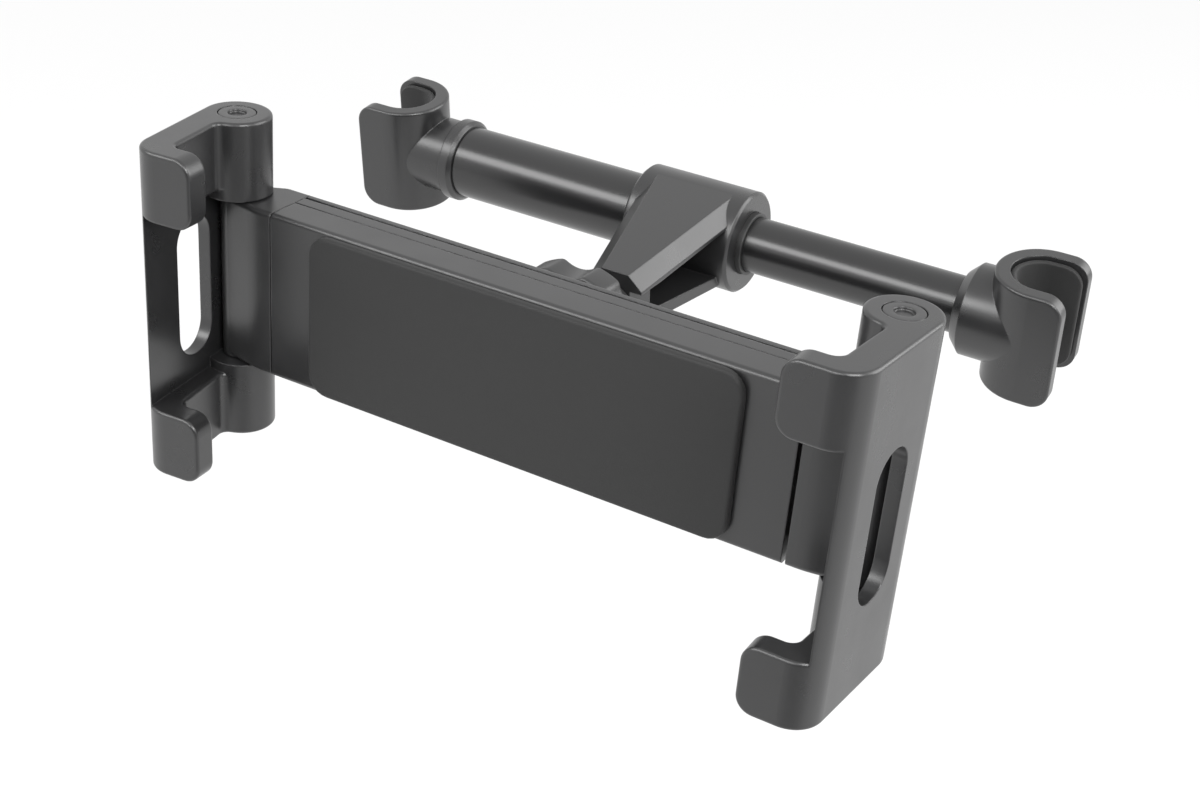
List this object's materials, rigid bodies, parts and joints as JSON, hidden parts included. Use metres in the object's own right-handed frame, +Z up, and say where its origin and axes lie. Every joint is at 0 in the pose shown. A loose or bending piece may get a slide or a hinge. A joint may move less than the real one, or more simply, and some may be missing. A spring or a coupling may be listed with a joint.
{
  "type": "headrest tablet mount",
  "caption": "Sprung telescopic bar that hooks between two headrest posts and carries a ball-jointed tablet clamp with sliding arms and folding jaws.",
  "frame": {"origin": "centre of the right post clamp, on the bar's axis", "axes": "+X along the bar to the right as seen by the passenger, +Y away from the passenger towards the seat, +Z up along the upright panel; the headrest posts and both hooks lean 8.4 degrees about X, their tops towards the passenger"},
  "size_m": [0.1864, 0.1198, 0.077],
  "materials": {
    "hook_plastic": "satin black moulded plastic",
    "liner_rubber": "soft matt black rubber",
    "tube_metal": "satin black anodised tube",
    "inner_plastic": "plain black plastic",
    "bracket_plastic": "satin black moulded plastic",
    "ball_metal": "blackened turned metal",
    "spring_steel": "plain spring steel",
    "screw_steel": "zinc-plated steel",
    "nut_plastic": "satin black moulded plastic",
    "housing_plastic": "finely textured black plastic",
    "pad_rubber": "matt black soft pad",
    "jaw_plastic": "finely textured black plastic",
    "cap_plastic": "satin black plastic plug"
  },
  "bodies": {
    "right_post_side": {"right_hook": "hook_plastic", "right_hook_liner": "liner_rubber", "inner_tube": "tube_metal", "inner_tube_guide": "inner_plastic"},
    "bar": {"outer_tube": "tube_metal", "collar_bush": "inner_plastic", "bracket": "bracket_plastic", "ball_stud": "ball_metal", "bar_spring": "spring_steel"},
    "left_post_hook": {"left_hook": "hook_plastic", "left_hook_liner": "liner_rubber"},
    "ball_front_pad": {"ball_seat": "inner_plastic"},
    "ball_rear_pad": {"ball_ring": "inner_plastic"},
    "panel": {"ball_socket": "bracket_plastic", "socket_screws": "screw_steel", "housing_front": "housing_plastic", "housing_back": "housing_plastic", "housing_screws": "screw_steel", "face_pad": "pad_rubber", "left_arm_spring": "spring_steel", "right_arm_spring": "spring_steel"},
    "nut": {"clamp_nut": "nut_plastic"},
    "left_slide": {"left_arm": "housing_plastic"},
    "right_slide": {"right_arm": "housing_plastic"},
    "left_clip": {"left_jaw": "jaw_plastic", "left_jaw_pin": "screw_steel", "left_pin_caps": "cap_plastic"},
    "right_clip": {"right_jaw": "jaw_plastic", "right_jaw_pin": "screw_steel", "right_pin_caps": "cap_plastic"}
  },
  "joints": [
    {"name": "bar_compress", "type": "slide", "parent": "right_post_side", "child": "bar", "axis": [1, 0, 0], "range_m": [0, 0.036], "stiffness_N_per_m": 300, "springref_m": -0.01, "deforming": ["bar_spring"]},
    {"name": "left_hook_turn", "type": "hinge", "parent": "bar", "child": "left_post_hook", "pos_m": [-0.171, 0, 0], "axis": [1, 0, 0], "range_deg": [-30, 30]},
    {"name": "ball_tilt", "type": "hinge", "parent": "bar", "child": "ball_front_pad", "pos_m": [-0.0855, -0.055, -0.00812], "axis": [1, 0, 0], "range_deg": [-11, 28]},
    {"name": "ball_pan", "type": "hinge", "parent": "ball_front_pad", "child": "ball_rear_pad", "pos_m": [-0.0855, -0.055, -0.00812], "axis": [0, 0, 1], "range_deg": [-20, 20]},
    {"name": "panel_spin", "type": "hinge", "parent": "ball_rear_pad", "child": "panel", "pos_m": [-0.0855, -0.055, -0.00812], "axis": [0, 1, 0], "continuous": true},
    {"name": "nut_turn", "type": "hinge", "parent": "panel", "child": "nut", "pos_m": [-0.0855, -0.055, -0.00812], "axis": [0, 1, 0], "range_deg": [0, 270]},
    {"name": "left_arm_slide", "type": "slide", "parent": "panel", "child": "left_slide", "axis": [-1, 0, 0], "range_m": [0, 0.036], "stiffness_N_per_m": 150, "springref_m": -0.01, "deforming": ["left_arm_spring"]},
    {"name": "right_arm_slide", "type": "slide", "parent": "panel", "child": "right_slide", "axis": [1, 0, 0], "range_m": [0, 0.036], "stiffness_N_per_m": 150, "springref_m": -0.01, "deforming": ["right_arm_spring"]},
    {"name": "left_jaw_fold", "type": "hinge", "parent": "left_slide", "child": "left_clip", "pos_m": [-0.1639, -0.0761, -0.00812], "axis": [0, 0, 1], "range_deg": [-4, 71]},
    {"name": "right_jaw_fold", "type": "hinge", "parent": "right_slide", "child": "right_clip", "pos_m": [-0.0065, -0.0761, -0.00812], "axis": [0, 0, -1], "range_deg": [0, 75]}
  ]
}
